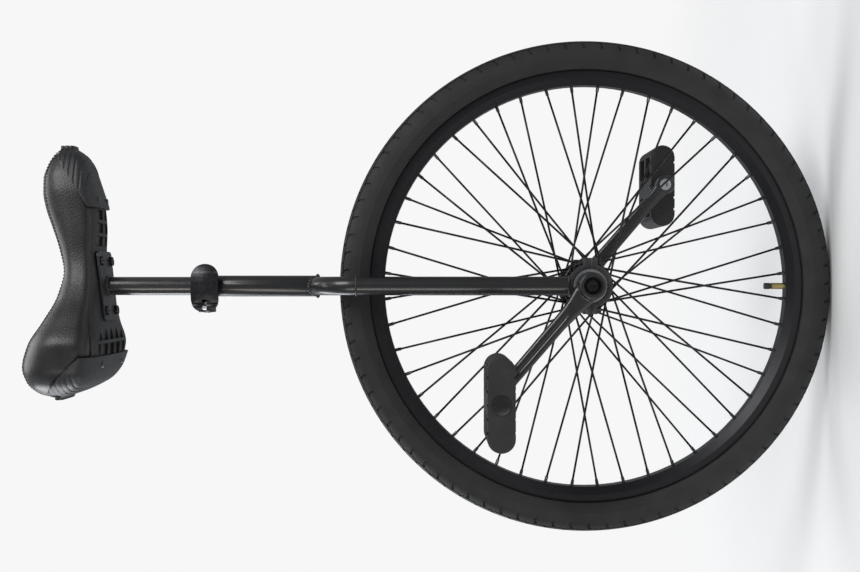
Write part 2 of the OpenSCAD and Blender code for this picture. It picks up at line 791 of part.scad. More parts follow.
module saddle_base() {
    color("#151517") difference() {
        intersection() {
            cushion(0, -base_inset);
            base_slab(-over, base_t, base_inset);
        }
        on_plate() for (x = [-1, 1], y = [-1, 1])
            translate([x * plate_bolt_x, y * plate_bolt_y, -plate_t])
                cylinder(h = plate_t + base_t - 1, d = plate_bolt_d);
        screw_places() cylinder(h = 8.5, d = 4);
    }
}

module saddle_foam() {
    color("#2e2e2e") difference() {
        cushion(-cover_t, -cover_t);
        base_slab(-20, base_t + tiny, 40);
    }
}

module saddle_cover() {
    color("#121213") difference() {
        cushion(0, 0);
        cushion(tiny - cover_t, tiny - cover_t);
        base_slab(-20, base_t + 0.2, free_gap - base_inset);
    }
}

module bumper_shell() {
    difference() {
        cushion(bumper_t + tiny, bumper_t + tiny);
        cushion(tiny, tiny);
    }
}

// Self-tapping screws from below, through the bumpers into the base
screw_x = [103, -92];
screw_y = [18, 45];
function base_low(x) = lookup(x, [for (s = sections) [s[0], s[1]]]);
module screw_places() {
    for (i = [0, 1], side = [-1, 1])
        translate([screw_x[i], side * screw_y[i], saddle_z + base_low(screw_x[i]) - bumper_t])
            children();
}

module bumper_screws() {
    color("#3a3a3d") screw_places() {
        translate([0, 0, -0.9]) cylinder(h = 2, d = 8);
        translate([0, 0, 1]) cylinder(h = 7, d = 4);
    }
}
// The screw's hole and the flat that its head sits on
module screw_holes() {
    screw_places() {
        translate([0, 0, -20]) cylinder(h = 40, d = 4.4);
        translate([0, 0, -20]) cylinder(h = 21.2, d = 8.6);
    }
}

module front_bumper() {
    color("#1a1a1d") difference() {
        intersection() {
            bumper_shell();
            translate([0, 100, saddle_z]) rotate([90, 0, 0]) linear_extrude(200)
                polygon([[94, -20], [190, -20], [190, 60], [150, 54], [122, 34], [94, 16]]);
        }
        screw_holes();
    }
}

module rear_bumper() {
    color("#1a1a1d") difference() {
        intersection() {
            bumper_shell();
            translate([0, 150, saddle_z]) rotate([90, 0, 0]) linear_extrude(300)
                polygon([[-150, 62], [-128, 58], [-104, 34], [-82, 10], [-82, -30], [-150, -30]]);
        }
        screw_holes();
    }
}

fork_crown();
fork_leg_left();
fork_leg_right();
seat_tube();
bearing_housing_left();
bearing_housing_right();
bearing_cap_left();
bearing_cap_right();
bearing_cap_bolts();
bearing_outer_races();
bearing_seals();
clamp_collar();
clamp_skewer();
clamp_nut();
clamp_washer();
quick_release_lever();
seat_post();
saddle_plate();
saddle_bolts();
saddle_base();
saddle_foam();
saddle_cover();
front_bumper();
rear_bumper();
bumper_screws();
tyre();
inner_tube();
rim();
rim_tape();
valve_stem();
valve_cap();
spokes_left();
spokes_right();
spoke_nipples();
hub_shell();
axle();
bearing_spacers();
bearing_inner_races();
ball_cage_left();
ball_cage_right();
crank_left();
crank_right();
crank_bolts();
pedal_spindle_left();
pedal_spindle_right();
pedal_nuts();
pedal_body_left();
pedal_body_right();
pedal_bushes_left();
pedal_bushes_right();
pedal_end_cap_left();
pedal_end_cap_right();
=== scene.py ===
"""Unicycle: the looks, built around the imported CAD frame. All sizes are in metres."""
import json
import math

import bmesh
import bpy
import numpy as np
from mathutils import Matrix, Vector


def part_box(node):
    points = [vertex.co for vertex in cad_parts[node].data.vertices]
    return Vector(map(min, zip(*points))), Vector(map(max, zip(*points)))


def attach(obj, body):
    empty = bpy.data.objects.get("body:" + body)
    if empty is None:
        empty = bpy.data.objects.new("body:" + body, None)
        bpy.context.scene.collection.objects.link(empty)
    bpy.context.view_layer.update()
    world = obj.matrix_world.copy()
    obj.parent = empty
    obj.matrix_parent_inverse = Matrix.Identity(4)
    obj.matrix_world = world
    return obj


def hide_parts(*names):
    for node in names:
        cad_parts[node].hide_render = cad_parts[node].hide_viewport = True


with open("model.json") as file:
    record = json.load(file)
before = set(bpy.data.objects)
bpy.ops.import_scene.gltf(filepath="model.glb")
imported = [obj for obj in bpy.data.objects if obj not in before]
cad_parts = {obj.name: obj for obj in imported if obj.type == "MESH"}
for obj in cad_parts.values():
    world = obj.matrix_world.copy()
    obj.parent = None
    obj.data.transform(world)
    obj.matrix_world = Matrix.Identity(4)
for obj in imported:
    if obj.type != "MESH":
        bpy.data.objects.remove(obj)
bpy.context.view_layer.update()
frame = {"nodes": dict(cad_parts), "record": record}

MM = 0.001
TAU = 2 * math.pi
NODES = frame["nodes"]


# ------------------------------------------------------------------ places from the frame
def centre(node):
    low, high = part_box(node)
    return (low + high) / 2


AXLE = Vector((0, 0, centre("rim").z))
TYRE_LOW, TYRE_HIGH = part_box("tyre")
WHEEL_R = (TYRE_HIGH.x - TYRE_LOW.x) / 2
RIM_TOP_R = (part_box("rim")[1].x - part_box("rim")[0].x) / 2
TYRE_HALF = TYRE_HIGH.y
SEAT_TUBE_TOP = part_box("seat_tube")[1].z
POST_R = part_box("seat_post")[1].x
LEG_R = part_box("fork_leg_left")[1].x
LEG_Y = centre("fork_leg_left").y
ARCH_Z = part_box("fork_leg_left")[1].z
SADDLE_Z = SEAT_TUBE_TOP + 112 * MM
SADDLE_SLOPE = math.tan(math.radians(6.2))


# ------------------------------------------------------------------ camera, light and floor
def look(roll_up, place, target):
    """A camera or light matrix at place, facing target, with roll_up as its up direction."""
    back = (place - target).normalized()
    right = roll_up.cross(back).normalized()
    up = back.cross(right)
    m = Matrix((right, up, back)).transposed().to_4x4()
    m.translation = place
    return m


def make_camera():
    data = bpy.data.cameras.new("camera")
    data.lens = 51.6
    data.sensor_width = 36
    cam = bpy.data.objects.new("camera", data)
    bpy.context.scene.collection.objects.link(cam)
    distance = 1.5
    aim = Vector((0, 0, AXLE.z + 188 * MM))
    # The unicycle is seen from its right side, lying across the frame with its saddle to the left
    cam.matrix_world = look(Vector((1, 0, 0)), aim + Vector((0, -distance, 0)), aim)
    bpy.context.scene.camera = cam


def make_light(name, place, target, size, power, colour=(1, 1, 1)):
    data = bpy.data.lights.new(name, "AREA")
    data.shape = "RECTANGLE"
    data.size, data.size_y = size
    data.energy = power
    data.color = colour
    obj = bpy.data.objects.new(name, data)
    bpy.context.scene.collection.objects.link(obj)
    obj.matrix_world = look(Vector((0, 0.1, 1)), Vector(place), Vector(target))


def make_world():
    world = bpy.data.worlds.new("world")
    bpy.context.scene.world = world
    world.use_nodes = True
    n, l = world.node_tree.nodes, world.node_tree.links
    n.clear()
    out = n.new("ShaderNodeOutputWorld")
    mix = n.new("ShaderNodeMixShader")
    path = n.new("ShaderNodeLightPath")
    fill = n.new("ShaderNodeBackground")
    seen = n.new("ShaderNodeBackground")
    fill.inputs[0].default_value = (0.93, 0.96, 1, 1)
    fill.inputs[1].default_value = 0.28
    seen.inputs[0].default_value = (0.93, 0.93, 0.93, 1)
    seen.inputs[1].default_value = 1.0
    l.new(path.outputs["Is Camera Ray"], mix.inputs[0])
    l.new(fill.outputs[0], mix.inputs[1])
    l.new(seen.outputs[0], mix.inputs[2])
    l.new(mix.outputs[0], out.inputs[0])


def make_floor():
    """A pale round floor that fades out, so that no horizon shows."""
    radius = 2.4
    mesh = bpy.data.meshes.new("floor")
    bm = bmesh.new()
    bmesh.ops.create_circle(bm, cap_ends=True, segments=96, radius=radius)
    bm.to_mesh(mesh)
    bm.free()
    obj = bpy.data.objects.new("floor", mesh)
    bpy.context.scene.collection.objects.link(obj)
    m = bpy.data.materials.new("floor")
    m.use_nodes = True
    n, l = m.node_tree.nodes, m.node_tree.links
    bsdf = n["Principled BSDF"]
    bsdf.inputs["Base Color"].default_value = (0.9, 0.9, 0.9, 1)
    bsdf.inputs["Roughness"].default_value = 0.9
    bsdf.inputs["Specular IOR Level"].default_value = 0.0
    clear = n.new("ShaderNodeBsdfTransparent")
    mix = n.new("ShaderNodeMixShader")
    coord = n.new("ShaderNodeTexCoord")
    length = n.new("ShaderNodeVectorMath")
    length.operation = "LENGTH"
    ramp = n.new("ShaderNodeMapRange")
    ramp.interpolation_type = "SMOOTHSTEP"
    ramp.inputs["From Min"].default_value = 0.3
    ramp.inputs["From Max"].default_value = 1.25
    l.new(coord.outputs["Object"], length.inputs[0])
    l.new(length.outputs["Value"], ramp.inputs["Value"])
    l.new(ramp.outputs["Result"], mix.inputs[0])
    l.new(bsdf.outputs[0], mix.inputs[1])
    l.new(clear.outputs[0], mix.inputs[2])
    l.new(mix.outputs[0], n["Material Output"].inputs["Surface"])
    mesh.materials.append(m)


def make_studio():
    make_camera()
    make_world()
    make_floor()
    make_light("key", (1.6, -1.9, 2.2), (0, 0, 0.5), (1.4, 1.4), 44)
    make_light("rim_left", (-2.0, 1.2, 1.4), (0, 0, 0.5), (1.0, 1.8), 34, (0.93, 0.96, 1))
    make_light("top", (0.2, 0.3, 2.6), (0, 0, 0.5), (1.6, 1.6), 22)
    make_light("side", (-1.5, -1.8, 0.7), (0, 0, 0.5), (0.6, 1.6), 14, (1, 0.97, 0.93))
    bpy.context.scene.view_settings.view_transform = "Standard"


# ------------------------------------------------------------------ materials
def surface(name, colour, rough, metal=0.0, mottle=0.25, mottle_scale=60, grain=0.0,
            grain_scale=1500, stretch=(1, 1, 1), pattern="noise", wear=0.0, dust=0.0,
            coat=0.0, spec=0.5, sheen=0.0, uneven=0.06):
    """One finish: colour that varies, uneven gloss, a fine relief, and wear on its edges."""
    m = bpy.data.materials.new(name)
    m.use_nodes = True
    n, l = m.node_tree.nodes, m.node_tree.links
    bsdf = n["Principled BSDF"]
    bsdf.inputs["Metallic"].default_value = metal
    bsdf.inputs["Specular IOR Level"].default_value = spec
    bsdf.inputs["Coat Weight"].default_value = coat
    bsdf.inputs["Coat Roughness"].default_value = 0.12
    bsdf.inputs["Sheen Weight"].default_value = sheen
    coord = n.new("ShaderNodeTexCoord")
    scaled = n.new("ShaderNodeMapping")
    scaled.inputs["Scale"].default_value = stretch
    l.new(coord.outputs["Object"], scaled.inputs["Vector"])

    def noise(scale, detail):
        tex = n.new("ShaderNodeTexNoise")
        tex.inputs["Scale"].default_value = scale
        tex.inputs["Detail"].default_value = detail
        l.new(scaled.outputs[0], tex.inputs["Vector"])
        return tex.outputs["Fac"]

    def spread(source, low, high):
        ramp = n.new("ShaderNodeMapRange")
        ramp.inputs["From Min"].default_value = 0.3
        ramp.inputs["From Max"].default_value = 0.7
        ramp.inputs["To Min"].default_value = low
        ramp.inputs["To Max"].default_value = high
        l.new(source, ramp.inputs["Value"])
        return ramp.outputs["Result"]

    def blend(factor, first, second):
        mix = n.new("ShaderNodeMix")
        mix.data_type = "RGBA"
        l.new(factor, mix.inputs["Factor"])
        for value, socket in ((first, mix.inputs["A"]), (second, mix.inputs["B"])):
            if isinstance(value, tuple):
                socket.default_value = value
            else:
                l.new(value, socket)
        return mix.outputs["Result"]

    patches = noise(mottle_scale, 4)
    dark = tuple(c * (1 - mottle) for c in colour) + (1,)
    light = tuple(min(1, c * (1 + mottle)) for c in colour) + (1,)
    colour_out = blend(spread(patches, 0, 1), dark, light)
    if dust:
        up = n.new("ShaderNodeNewGeometry")
        split = n.new("ShaderNodeSeparateXYZ")
        l.new(up.outputs["Normal"], split.inputs[0])
        amount = n.new("ShaderNodeMath")
        amount.operation = "MULTIPLY"
        amount.use_clamp = True
        l.new(split.outputs["Z"], amount.inputs[0])
        l.new(spread(noise(mottle_scale * 3, 6), 0, dust), amount.inputs[1])
        colour_out = blend(amount.outputs[0], colour_out, (0.2, 0.19, 0.17, 1))
    if wear:
        point = n.new("ShaderNodeNewGeometry")
        edge = n.new("ShaderNodeMapRange")
        edge.inputs["From Min"].default_value = 0.52
        edge.inputs["From Max"].default_value = 0.62
        edge.inputs["To Max"].default_value = wear
        l.new(point.outputs["Pointiness"], edge.inputs["Value"])
        broken = n.new("ShaderNodeMath")
        broken.operation = "MULTIPLY"
        l.new(edge.outputs[0], broken.inputs[0])
        l.new(spread(noise(mottle_scale * 5, 3), 0, 1), broken.inputs[1])
        worn = tuple(min(1, c * 3 + 0.06) for c in colour) + (1,)
        colour_out = blend(broken.outputs[0], colour_out, worn)
    l.new(colour_out, bsdf.inputs["Base Color"])
    l.new(spread(noise(mottle_scale * 2, 5), rough - uneven, min(1, rough + uneven)),
          bsdf.inputs["Roughness"])
    if grain:
        if pattern == "cells":
            tex = n.new("ShaderNodeTexVoronoi")
            tex.inputs["Scale"].default_value = grain_scale
            l.new(scaled.outputs[0], tex.inputs["Vector"])
            height = tex.outputs["Distance"]
        else:
            height = noise(grain_scale, 3)
        bump = n.new("ShaderNodeBump")
        bump.inputs["Strength"].default_value = grain
        bump.inputs["Distance"].default_value = 0.3 * MM
        l.new(height, bump.inputs["Height"])
        l.new(bump.outputs[0], bsdf.inputs["Normal"])
    return m


MATERIALS = {
    "frame_paint": surface("frame_paint", (0.01, 0.01, 0.011), 0.36, grain=0.1,
                           grain_scale=1300, coat=0.35, mottle=0.08, uneven=0.025),
    "housing_paint": surface("housing_paint", (0.018, 0.018, 0.019), 0.48, grain=0.35,
                             grain_scale=700, wear=0.5),
    "black_bolt": surface("black_bolt", (0.03, 0.03, 0.032), 0.36, metal=0.8, wear=0.6,
                          grain=0.1, mottle_scale=300),
    "bearing_steel": surface("bearing_steel", (0.42, 0.42, 0.44), 0.22, metal=1, grain=0.1,
                             mottle=0.1, stretch=(1, 8, 1)),
    "seal_rubber": surface("seal_rubber", (0.012, 0.012, 0.012), 0.7, grain=0.2),
    "clamp_black": surface("clamp_black", (0.022, 0.022, 0.024), 0.34, metal=0.7, wear=0.7,
                           grain=0.1, grain_scale=2500, mottle=0.12),
    "bright_steel": surface("bright_steel", (0.5, 0.5, 0.51), 0.24, metal=1, grain=0.08,
                            mottle=0.12, stretch=(1, 6, 1)),
    "post_black": surface("post_black", (0.012, 0.012, 0.013), 0.22, coat=0.4, grain=0.12,
                          grain_scale=1200, stretch=(6, 6, 0.25), wear=0.4),
    "plate_black": surface("plate_black", (0.016, 0.016, 0.018), 0.4, grain=0.2, wear=0.6,
                           grain_scale=900),
    "base_plastic": surface("base_plastic", (0.015, 0.015, 0.016), 0.52, grain=0.3,
                            grain_scale=2200),
    "cover_vinyl": surface("cover_vinyl", (0.011, 0.011, 0.012), 0.42, grain=0.55,
                           grain_scale=520, pattern="cells", mottle=0.2, mottle_scale=25,
                           coat=0.06, sheen=0.05),
    "thread": surface("thread", (0.02, 0.02, 0.021), 0.8, grain=0.3, grain_scale=3000,
                      spec=0.2),
    "bumper_plastic": surface("bumper_plastic", (0.02, 0.02, 0.022), 0.45, grain=0.4,
                              grain_scale=1800, wear=0.5),
    "tyre": surface("tyre", (0.013, 0.013, 0.0135), 0.72, grain=0.4, grain_scale=1100,
                    mottle=0.35, mottle_scale=40, dust=0.05),
    "rim_black": surface("rim_black", (0.014, 0.014, 0.016), 0.34, metal=0.5, grain=0.08,
                         grain_scale=2400, mottle=0.06, uneven=0.02),
    "spoke_black": surface("spoke_black", (0.02, 0.02, 0.022), 0.3, metal=0.75, mottle=0.2,
                           grain=0.05),
    "nipple": surface("nipple", (0.06, 0.06, 0.063), 0.3, metal=0.9, wear=0.5, mottle=0.2),
    "hub_black": surface("hub_black", (0.014, 0.014, 0.015), 0.3, coat=0.3, grain=0.1,
                         wear=0.5),
    "crank_black": surface("crank_black", (0.015, 0.015, 0.016), 0.3, coat=0.3, grain=0.12,
                           grain_scale=700, wear=0.7, mottle=0.15),
    "pedal_plastic": surface("pedal_plastic", (0.016, 0.016, 0.017), 0.55, grain=0.4,
                             grain_scale=2000, wear=0.5, dust=0.04),
    "cap_plastic": surface("cap_plastic", (0.012, 0.012, 0.013), 0.3, grain=0.15),
    "valve_brass": surface("valve_brass", (0.3, 0.24, 0.1), 0.35, metal=1, wear=0.2, grain=0.1),
    "valve_cap": surface("valve_cap", (0.015, 0.015, 0.016), 0.45, grain=0.3),
    "bush": surface("bush", (0.42, 0.3, 0.13), 0.4, metal=1, grain=0.2),
    "butyl": surface("butyl", (0.03, 0.03, 0.03), 0.6, grain=0.2),
    "tape": surface("tape", (0.02, 0.02, 0.02), 0.6, grain=0.2),
    "foam": surface("foam", (0.06, 0.06, 0.06), 0.9, grain=0.4, pattern="cells"),
    "weld": surface("weld", (0.013, 0.013, 0.014), 0.36, grain=0.3, grain_scale=500, coat=0.35),
}


# ------------------------------------------------------------------ mesh helpers
def add_piece(name, verts, faces, slot, body, replaces=(), smooth=True):
    """A piece from vertices and faces, on its body, in place of the CAD nodes it replaces."""
    mesh = bpy.data.meshes.new(name)
    mesh.from_pydata([tuple(v) for v in verts], [], faces)
    mesh.validate()
    mesh.update()
    return finish_piece(name, mesh, slot, body, replaces, smooth)


def finish_piece(name, mesh, slot, body, replaces=(), smooth=True):
    """Puts a mesh into the scene with its finish, on its body."""
    obj = bpy.data.objects.new(name, mesh)
    bpy.context.scene.collection.objects.link(obj)
    mesh.materials.clear()
    mesh.materials.append(MATERIALS[slot])
    bm = bmesh.new()
    bm.from_mesh(mesh)
    bmesh.ops.recalc_face_normals(bm, faces=bm.faces)
    bm.to_mesh(mesh)
    bm.free()
    if smooth:
        mesh.shade_smooth()
    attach(obj, body)
    if replaces:
        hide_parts(*replaces)
    return obj


def add_bevel(obj, width, segments=2):
    mod = obj.modifiers.new("edges", "BEVEL")
    mod.width = width
    mod.segments = segments
    mod.limit_method = "ANGLE"
    mod.angle_limit = math.radians(38)
    mod.harden_normals = True


def grid_faces(rows, cols, wrap_rows=False):
    """Quads over rings of points, each ring cols long."""
    faces = []
    for i in range(rows if wrap_rows else rows - 1):
        for j in range(cols):
            a, b = i * cols + j, i * cols + (j + 1) % cols
            c, d = ((i + 1) % rows) * cols + (j + 1) % cols, ((i + 1) % rows) * cols + j
            faces.append((a, b, c, d))
    return faces


def frames_along(points):
    """A pair of cross directions at each point of a path, turned as little as possible."""
    points = [Vector(p) for p in points]
    tangents = []
    for i in range(len(points)):
        a, b = points[max(i - 1, 0)], points[min(i + 1, len(points) - 1)]
        tangents.append((b - a).normalized())
    side = tangents[0].orthogonal().normalized()
    out = []
    for t in tangents:
        side = (side - t * side.dot(t)).normalized()
        out.append((side, t.cross(side)))
    return out


def capped_faces(rows, cols):
    """Quads over rings of points, with a face across each end."""
    last = (rows - 1) * cols
    ends = [tuple(range(cols - 1, -1, -1)), tuple(last + j for j in range(cols))]
    return grid_faces(rows, cols) + ends


def tube(points, radii, sides, shape=None):
    """Vertices and faces of a rod along points; shape(i, angle) scales its radius."""
    verts = []
    for i, (p, (a, b)) in enumerate(zip(points, frames_along(points))):
        for j in range(sides):
            t = TAU * j / sides
            k = radii[i] * (shape(i, t) if shape else 1)
            verts.append(Vector(p) + (a * math.cos(t) + b * math.sin(t)) * k)
    return verts, capped_faces(len(points), sides)


def join(parts):
    """One vertex and face list from several."""
    verts, faces = [], []
    for v, f in parts:
        base = len(verts)
        verts += list(v)
        faces += [tuple(base + k for k in face) for face in f]
    return verts, faces


def lathe(outline, sides, x=0):
    """A turned shape from (radius, height) pairs, about the line along Z at x."""
    verts = []
    for r, z in outline:
        verts += [Vector((x + r * math.cos(TAU * j / sides), r * math.sin(TAU * j / sides), z))
                  for j in range(sides)]
    return verts, capped_faces(len(outline), sides)


def to_mesh(name, verts, faces):
    mesh = bpy.data.meshes.new(name)
    mesh.from_pydata([tuple(v) for v in verts], [], faces)
    bm = bmesh.new()
    bm.from_mesh(mesh)
    bmesh.ops.recalc_face_normals(bm, faces=bm.faces)
    bm.to_mesh(mesh)
    bm.free()
    return mesh


def apply_modifiers(name, mesh, *setups):
    """A new mesh: the given one after some modifiers. Each setup is (type, values)."""
    obj = bpy.data.objects.new(name, mesh)
    bpy.context.scene.collection.objects.link(obj)
    for kind, values in setups:
        mod = obj.modifiers.new(kind, kind)
        for key, value in values.items():
            setattr(mod, key, value)
    bpy.context.view_layer.update()
    done = obj.evaluated_get(bpy.context.evaluated_depsgraph_get())
    out = bpy.data.meshes.new_from_object(done)
    out.name = name
    bpy.data.objects.remove(obj)
    return out


def combine(name, mesh, tools, operation):
    """mesh with other meshes joined on or cut away, exactly."""
    for tool in tools:
        other = bpy.data.objects.new("tool", tool)
        bpy.context.scene.collection.objects.link(other)
        mesh = apply_modifiers(name, mesh, ("BOOLEAN", {
            "operation": operation, "object": other, "solver": "EXACT"}))
        bpy.data.objects.remove(other)
    return mesh


def boxes_mesh(boxes):
    """One mesh of several boxes, each given by its lowest and highest corner."""
    faces = [(0, 1, 3, 2), (4, 6, 7, 5), (0, 4, 5, 1), (2, 3, 7, 6), (0, 2, 6, 4), (1, 5, 7, 3)]
    parts = []
    for low, high in boxes:
        corners = [(x, y, z) for x in (low[0], high[0]) for y in (low[1], high[1])
                   for z in (low[2], high[2])]
        parts.append((corners, faces))
    return to_mesh("boxes", *join(parts))


def soften(name, mesh, voxel, rounds):
    """Remeshed and smoothed, so that edges are rounded as a moulding's or a forging's are."""
    return apply_modifiers(name, mesh,
                           ("REMESH", {"mode": "VOXEL", "voxel_size": voxel}),
                           ("SMOOTH", {"factor": 0.5, "iterations": rounds}))


def bend(v, p):
    """v to a power with its sign kept: it squares off a round section."""
    return math.copysign(abs(v) ** p, v)


def loft(rows):
    """A closed skin over rings of points."""
    return [p for row in rows for p in row], capped_faces(len(rows), len(rows[0]))


# ------------------------------------------------------------------ wheel
def wheel_point(r, angle, y):
    """A point at a radius and an angle of the wheel; the angle runs from +X down to -Z."""
    return Vector((r * math.cos(angle), y, AXLE.z - r * math.sin(angle)))


def make_tyre():
    """A road tyre with a moulded tread: centre rib, slanted blocks and shoulder blocks."""
    section_r = TYRE_HALF
    middle_r = WHEEL_R - section_r
    casing_r = section_r - 0.3 * MM
    inner_r = section_r - 3.4 * MM
    groove_depth = 1.9 * MM
    pitches = 84
    slant = 0.3
    full_slant_at = 22 * MM
    # Half the tread, from its middle: the zone, and the distance along the crown in mm
    across = [("rib", 0), ("rib", 3.6), ("groove", 4.2), ("groove", 5.6), ("block", 6.2),
              ("block", 9.4), ("block", 12.6), ("groove", 13.2), ("groove", 14.4),
              ("edge", 15.0), ("edge", 18.5), ("edge", 22.0), ("edge", 24.4), ("wall", 25.4)]
    half = [(zone, s * MM) for zone, s in across]
    tread = [(zone, -s) for zone, s in reversed(half[1:])] + half
    # The rows within one pitch, and which of them are cut down in each zone
    steps = [0.0, 0.03, 0.13, 0.16, 0.33, 0.5, 0.53, 0.63, 0.66, 0.83]
    cut_rows = {"groove": range(len(steps)), "block": (1, 2), "edge": (6, 7)}
    # The bare wall below the tread, with a thin raised line round it
    wall = [(math.radians(a), 0.35 * MM if a in (92, 94) else 0)
            for a in (70, 76, 84, 90, 92, 94, 97, 104, 112, 119, 124)]
    # Down between the rim's flanges, and back up inside the casing
    bead_y = 12.6 * MM
    bead_in_y = 9 * MM
    bead_foot = RIM_TOP_R - 5.7 * MM
    one_side = [(RIM_TOP_R + 1 * MM, bead_y), (bead_foot, bead_y), (bead_foot, bead_in_y),
                (RIM_TOP_R + 2 * MM, bead_in_y), (middle_r, inner_r),
                (middle_r + 15 * MM, 14 * MM)]
    inside = one_side + [(middle_r + inner_r, 0)] + [(r, -y) for r, y in reversed(one_side)]

    def around(r, phi, angle):
        """A point of the tyre's round section, at an angle of the wheel."""
        return wheel_point(middle_r + r * math.cos(phi), angle, r * math.sin(phi))
    rings = []
    for p in range(pitches):
        for j, u in enumerate(steps):
            turn = TAU * (p + u + slant) / pitches
            points = [around(casing_r + lift, -a, turn) for a, lift in reversed(wall)]
            for zone, s in tread:
                cut = groove_depth if j in cut_rows.get(zone, ()) else 0
                lean = slant * min(1, abs(s) / full_slant_at)
                angle = TAU * (p + u + lean) / pitches
                points.append(around(section_r - cut, s / section_r, angle))
            points += [around(casing_r + lift, a, turn) for a, lift in wall]
            points += [wheel_point(r, turn, y) for r, y in inside]
            rings.append(points)
    verts = [point for points in rings for point in points]
    faces = grid_faces(len(rings), len(rings[0]), wrap_rows=True)
    obj = add_piece("tyre_tread", verts, faces, "tyre", "wheel", ("tyre",), smooth=False)
    mod = obj.modifiers.new("weighted", "WEIGHTED_NORMAL")
    mod.keep_sharp = True
    smooth_by_angle(obj.data, 32)


def smooth_by_angle(mesh, degrees):
    """Smooth faces with sharp edges wherever two faces meet at a steeper angle."""
    bm = bmesh.new()
    bm.from_mesh(mesh)
    for f in bm.faces:
        f.smooth = True
    limit = math.radians(degrees)
    for e in bm.edges:
        e.smooth = len(e.link_faces) == 2 and e.calc_face_angle(0) < limit
    bm.to_mesh(mesh)
    bm.free()


# The CAD's spoke layout. Each spoke leaves the hub LEAD places before or after its rim hole
PER_SIDE = 24
PITCH = TAU / PER_SIDE
LEAD = 4
SPOKE_R = 1.3 * MM
SPOKE_CIRCLE_R = 26 * MM
FLANGE_Y = 32 * MM
FLANGE_T = 3.5 * MM
RIM_IN_R = 243 * MM
STAGGER = 2.2 * MM


def spoke_ends(i, side):
    """A spoke's ends, and whether it runs outside its flange (1) or inside it (-1)."""
    out = 1 if i % 2 == 0 else -1
    rim_angle = (i + (0.75 if side > 0 else 0.25)) * PITCH
    hub_angle = rim_angle - out * LEAD * PITCH
    lift = 1.2 * MM if out > 0 else 0.1 * MM
    y = FLANGE_Y + out * (FLANGE_T / 2 + SPOKE_R + lift)
    hub = wheel_point(SPOKE_CIRCLE_R, hub_angle, side * y)
    rim = wheel_point(RIM_IN_R, rim_angle, side * STAGGER)
    return hub, rim, out


def make_spokes():
    """Laced spokes: a head in the flange, an elbow, one crossing under, and an end that runs into
    the nipple.
    """
    # The outermost crossing: its share of the spoke's length, its distance from the wheel's
    # middle plane, and how far each spoke leans aside there to pass the other
    cross = 0.394
    cross_y = 20.6 * MM
    swap = 1.75 * MM
    for side, name in ((1, "left"), (-1, "right")):
        parts = []
        for i in range(PER_SIDE):
            hub, rim, out = spoke_ends(i, side)
            run = rim - hub
            inward = Vector((0, -side * out, 0))
            at = hub + run * cross
            woven = Vector((at.x, side * (cross_y - out * swap), at.z))
            head = Vector((hub.x, side * (FLANGE_Y - out * (FLANGE_T / 2 + 1.5 * MM)), hub.z))
            path = [head, head - inward * 0.5 * MM, head - inward * 1.3 * MM,
                    hub + inward * 2.4 * MM, hub + inward * 1.2 * MM,
                    hub + inward * 0.35 * MM + run.normalized() * 0.6 * MM,
                    hub + run.normalized() * 1.8 * MM]
            elbow = path[-1]
            path += [elbow + (woven - elbow) * t for t in (0.25, 0.6, 0.9)]
            path.append(woven)
            tail = rim + run.normalized() * 3.2 * MM
            path += [woven + (tail - woven) * t for t in (0.07, 0.4, 1.0)]
            radii = [2 * MM, 2 * MM] + [SPOKE_R] * (len(path) - 2)
            parts.append(tube(path, radii, 10))
        verts, faces = join(parts)
        add_piece(f"laced_spokes_{name}", verts, faces, "spoke_black", "wheel",
                  (f"spokes_{name}",))


def make_nipples():
    """Nipples with a square wrench part, a round collar and a head inside the rim."""
    # Distance along the spoke past the rim's wall, radius, and 1 where the wrench grips
    rows = [(-7.6, 1.45, 0), (-7.3, 1.75, 0), (-6.4, 1.8, 0), (-6.1, 1.62, 1), (-2.2, 1.62, 1),
            (-1.8, 2.0, 0), (2.6, 2.0, 0), (2.9, 2.9, 0), (3.7, 3.0, 0), (4.3, 2.4, 0)]
    radii = [r * MM for _, r, _ in rows]

    def shape(k, t):
        square = min(1.22, 1 / max(abs(math.cos(t)), abs(math.sin(t))))
        return square if rows[k][2] else 1
    parts = []
    for side in (1, -1):
        for i in range(PER_SIDE):
            hub, rim, _ = spoke_ends(i, side)
            along = (rim - hub).normalized()
            path = [rim + along * s * MM for s, _, _ in rows]
            parts.append(tube(path, radii, 16, shape))
    verts, faces = join(parts)
    obj = add_piece("spoke_nipple_set", verts, faces, "nipple", "wheel", ("spoke_nipples",))
    smooth_by_angle(obj.data, 35)


def make_valve_cap():
    """The valve's cap, knurled between its two plain ends."""
    low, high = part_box("valve_cap")
    mid = (low + high) / 2
    r = (high.x - low.x) / 2
    h = high.z - low.z
    # Share of the height, share of the radius, and 1 where it is knurled
    rows = [(0, 0.7, 0), (0.06, 0.86, 0), (0.22, 0.95, 0), (0.28, 1, 1), (0.9, 1, 1),
            (0.94, 1, 0), (1, 0.94, 0)]
    path = [Vector((mid.x, mid.y, low.z + h * t)) for t, _, _ in rows]
    verts, faces = tube(path, [r * k for _, k, _ in rows], 72,
                        lambda k, t: 1 - 0.06 * (math.cos(18 * t) > 0) * rows[k][2])
    obj = add_piece("knurled_valve_cap", verts, faces, "valve_cap", "wheel", ("valve_cap",))
    smooth_by_angle(obj.data, 30)


# ------------------------------------------------------------------ cranks and pedals
PEDAL_AXIS = centre("pedal_end_cap_left")
CRANK_LEN = math.hypot(PEDAL_AXIS.x, AXLE.z - PEDAL_AXIS.z)
CRANK_ANGLE = math.atan2(AXLE.z - PEDAL_AXIS.z, PEDAL_AXIS.x)
CRANK_IN = 64.1 * MM
CRANK_T = 13 * MM
BOSS_IN = 59.5 * MM
BOSS_OUT = 84.1 * MM
PULLER_R = 11 * MM
BOLT_SEAT = BOSS_OUT - 13 * MM


